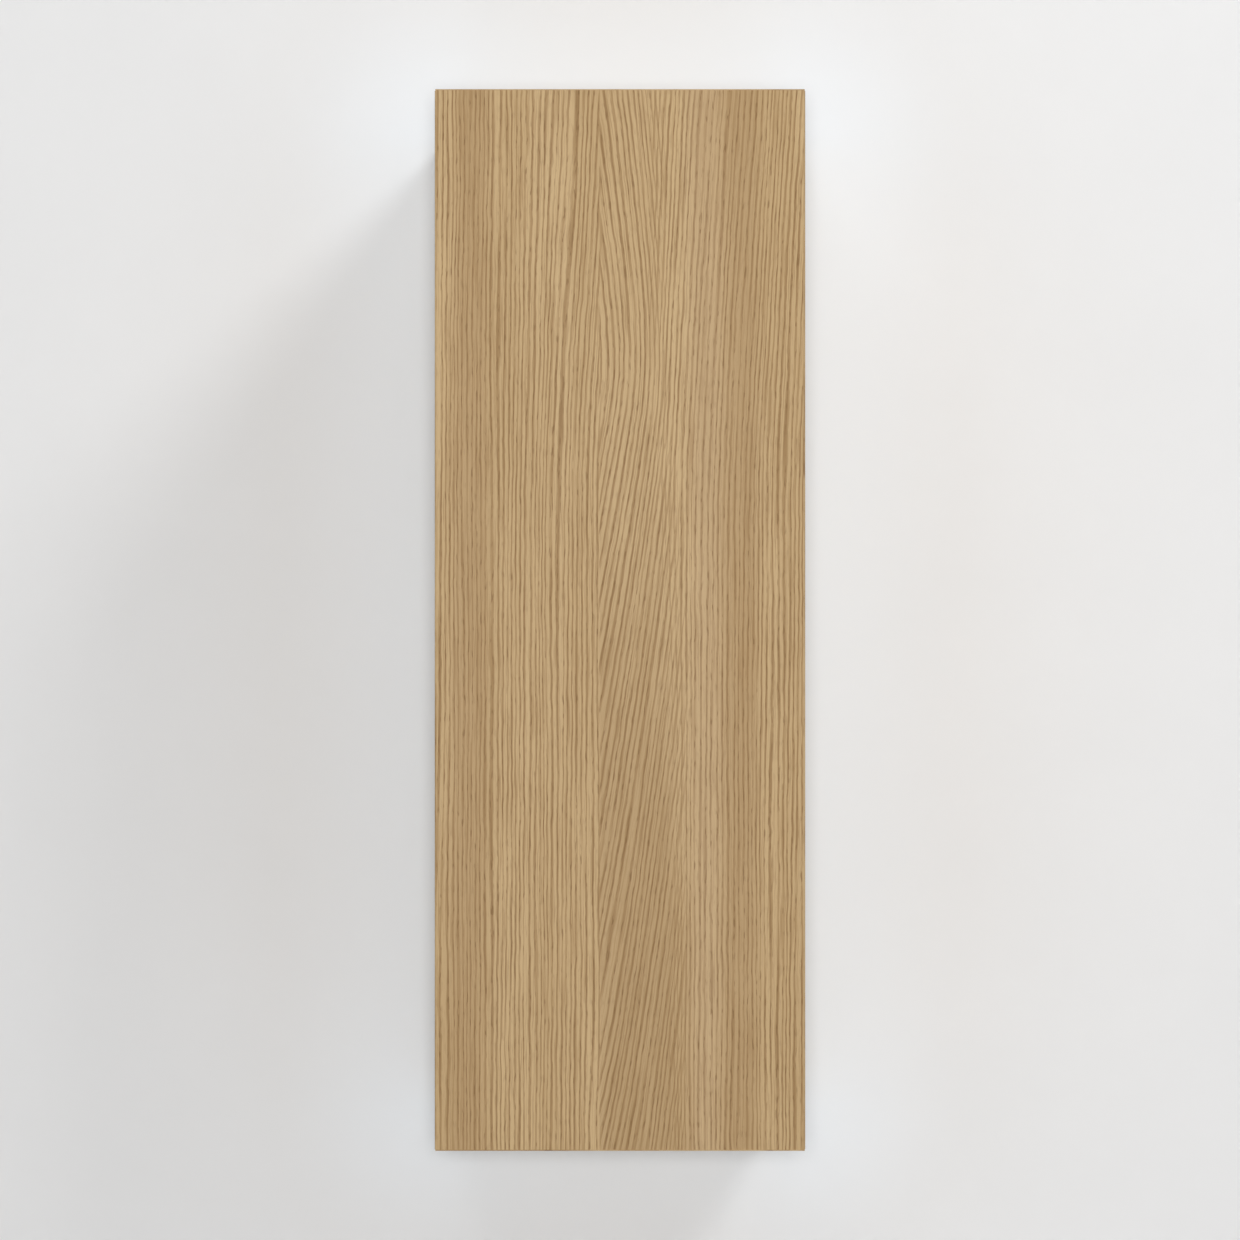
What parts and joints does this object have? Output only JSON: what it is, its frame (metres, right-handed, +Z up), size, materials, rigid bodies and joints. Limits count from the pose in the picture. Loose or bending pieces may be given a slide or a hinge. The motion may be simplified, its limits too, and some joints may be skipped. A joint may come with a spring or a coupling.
{
  "type": "pantry cabinet",
  "caption": "Tall, narrow wall-hung pantry cabinet with a handleless oak slab door, adjustable shelves, cup hinges, a push latch and a wall rail.",
  "frame": {"origin": "on the wall plane, at the middle of the cabinet's bottom rear edge", "axes": "X to the right seen from the front, the door faces -Y, +Y into the wall, Z up"},
  "size_m": [0.35, 0.35, 1],
  "materials": {
    "door_veneer": "straight-grained oak veneer, matt lacquer",
    "door_edge": "oak edge band, matt lacquer",
    "board_veneer": "oak-faced board, matt lacquer",
    "board_edge": "oak edge band, matt lacquer",
    "back_board": "oak-faced fibreboard, matt",
    "nickel": "nickel plated, satin",
    "pin_steel": "plain steel",
    "zinc": "zinc plated",
    "grey_plastic": "moulded plastic, fine texture",
    "white_plastic": "moulded plastic, fine texture",
    "cap_plastic": "moulded plastic, oak tone",
    "beech": "plain beech, fluted look left out",
    "clear_buffer": "soft translucent buffer"
  },
  "bodies": {
    "cabinet_box": {"side_panel_left": "board_veneer", "side_panel_right": "board_veneer", "top_panel": "board_veneer", "bottom_panel": "board_veneer", "back_panel": "back_board", "edge_band_left": "board_edge", "edge_band_right": "board_edge", "edge_band_top": "board_edge", "edge_band_bottom": "board_edge", "shelf_1": "board_veneer", "shelf_2": "board_veneer", "shelf_3": "board_veneer", "shelf_band_1": "board_edge", "shelf_band_2": "board_edge", "shelf_band_3": "board_edge", "shelf_pins": "nickel", "cam_locks": "zinc", "cam_bolts": "zinc", "dowels": "beech", "cam_caps": "cap_plastic", "hanger_body_left": "grey_plastic", "hanger_body_right": "grey_plastic", "hanger_hook_left": "zinc", "hanger_hook_right": "zinc", "hanger_cover_left": "white_plastic", "hanger_cover_right": "white_plastic", "hanger_adjusters": "zinc", "hanger_screws": "zinc", "wall_rail": "zinc", "hinge_plate_1": "nickel", "hinge_plate_2": "nickel", "hinge_plate_3": "nickel", "plate_screws": "nickel", "hinge_arm_1": "nickel", "hinge_arm_2": "nickel", "hinge_arm_3": "nickel", "arm_screws": "nickel", "arm_pivot_pins": "pin_steel", "latch_housing": "grey_plastic", "latch_screws": "zinc"},
    "door": {"door_panel": "door_veneer", "door_band_left": "door_edge", "door_band_right": "door_edge", "door_band_top": "door_edge", "door_band_bottom": "door_edge", "hinge_cup_1": "nickel", "hinge_cup_2": "nickel", "hinge_cup_3": "nickel", "cup_screws": "nickel", "cup_pivot_pins": "pin_steel", "door_buffers": "clear_buffer", "strike_plate": "nickel"},
    "latch_plunger": {"latch_plunger": "white_plastic"},
    "outer_links": {"outer_link_1": "nickel", "outer_link_2": "nickel", "outer_link_3": "nickel"},
    "inner_links": {"inner_link_1": "nickel", "inner_link_2": "nickel", "inner_link_3": "nickel"}
  },
  "joints": [
    {"name": "hinge_swing", "type": "hinge", "parent": "cabinet_box", "child": "outer_links", "pos_m": [-0.166, -0.3403, 0.5], "axis": [0, 0, -1], "range_deg": [0, 113.5]},
    {"name": "door_turn", "type": "hinge", "parent": "outer_links", "child": "door", "pos_m": [-0.1543, -0.3399, 0.5], "axis": [0, 0, 1], "range_deg": [0, 18.5]},
    {"name": "inner_link_turn", "type": "hinge", "parent": "cabinet_box", "child": "inner_links", "pos_m": [-0.16, -0.3403, 0.5], "axis": [0, 0, -1], "range_deg": [0, 163]},
    {"name": "latch_push", "type": "slide", "parent": "cabinet_box", "child": "latch_plunger", "axis": [0, -1, 0], "range_m": [0, 0.038]}
  ],
  "couplings": [
    {"joint": "door_turn", "follows": "hinge_swing", "ratio": 0.163},
    {"joint": "inner_link_turn", "follows": "hinge_swing", "ratio": 1.4361},
    {"joint": "latch_push", "follows": "hinge_swing", "m_per_rad": 0.019182}
  ]
}
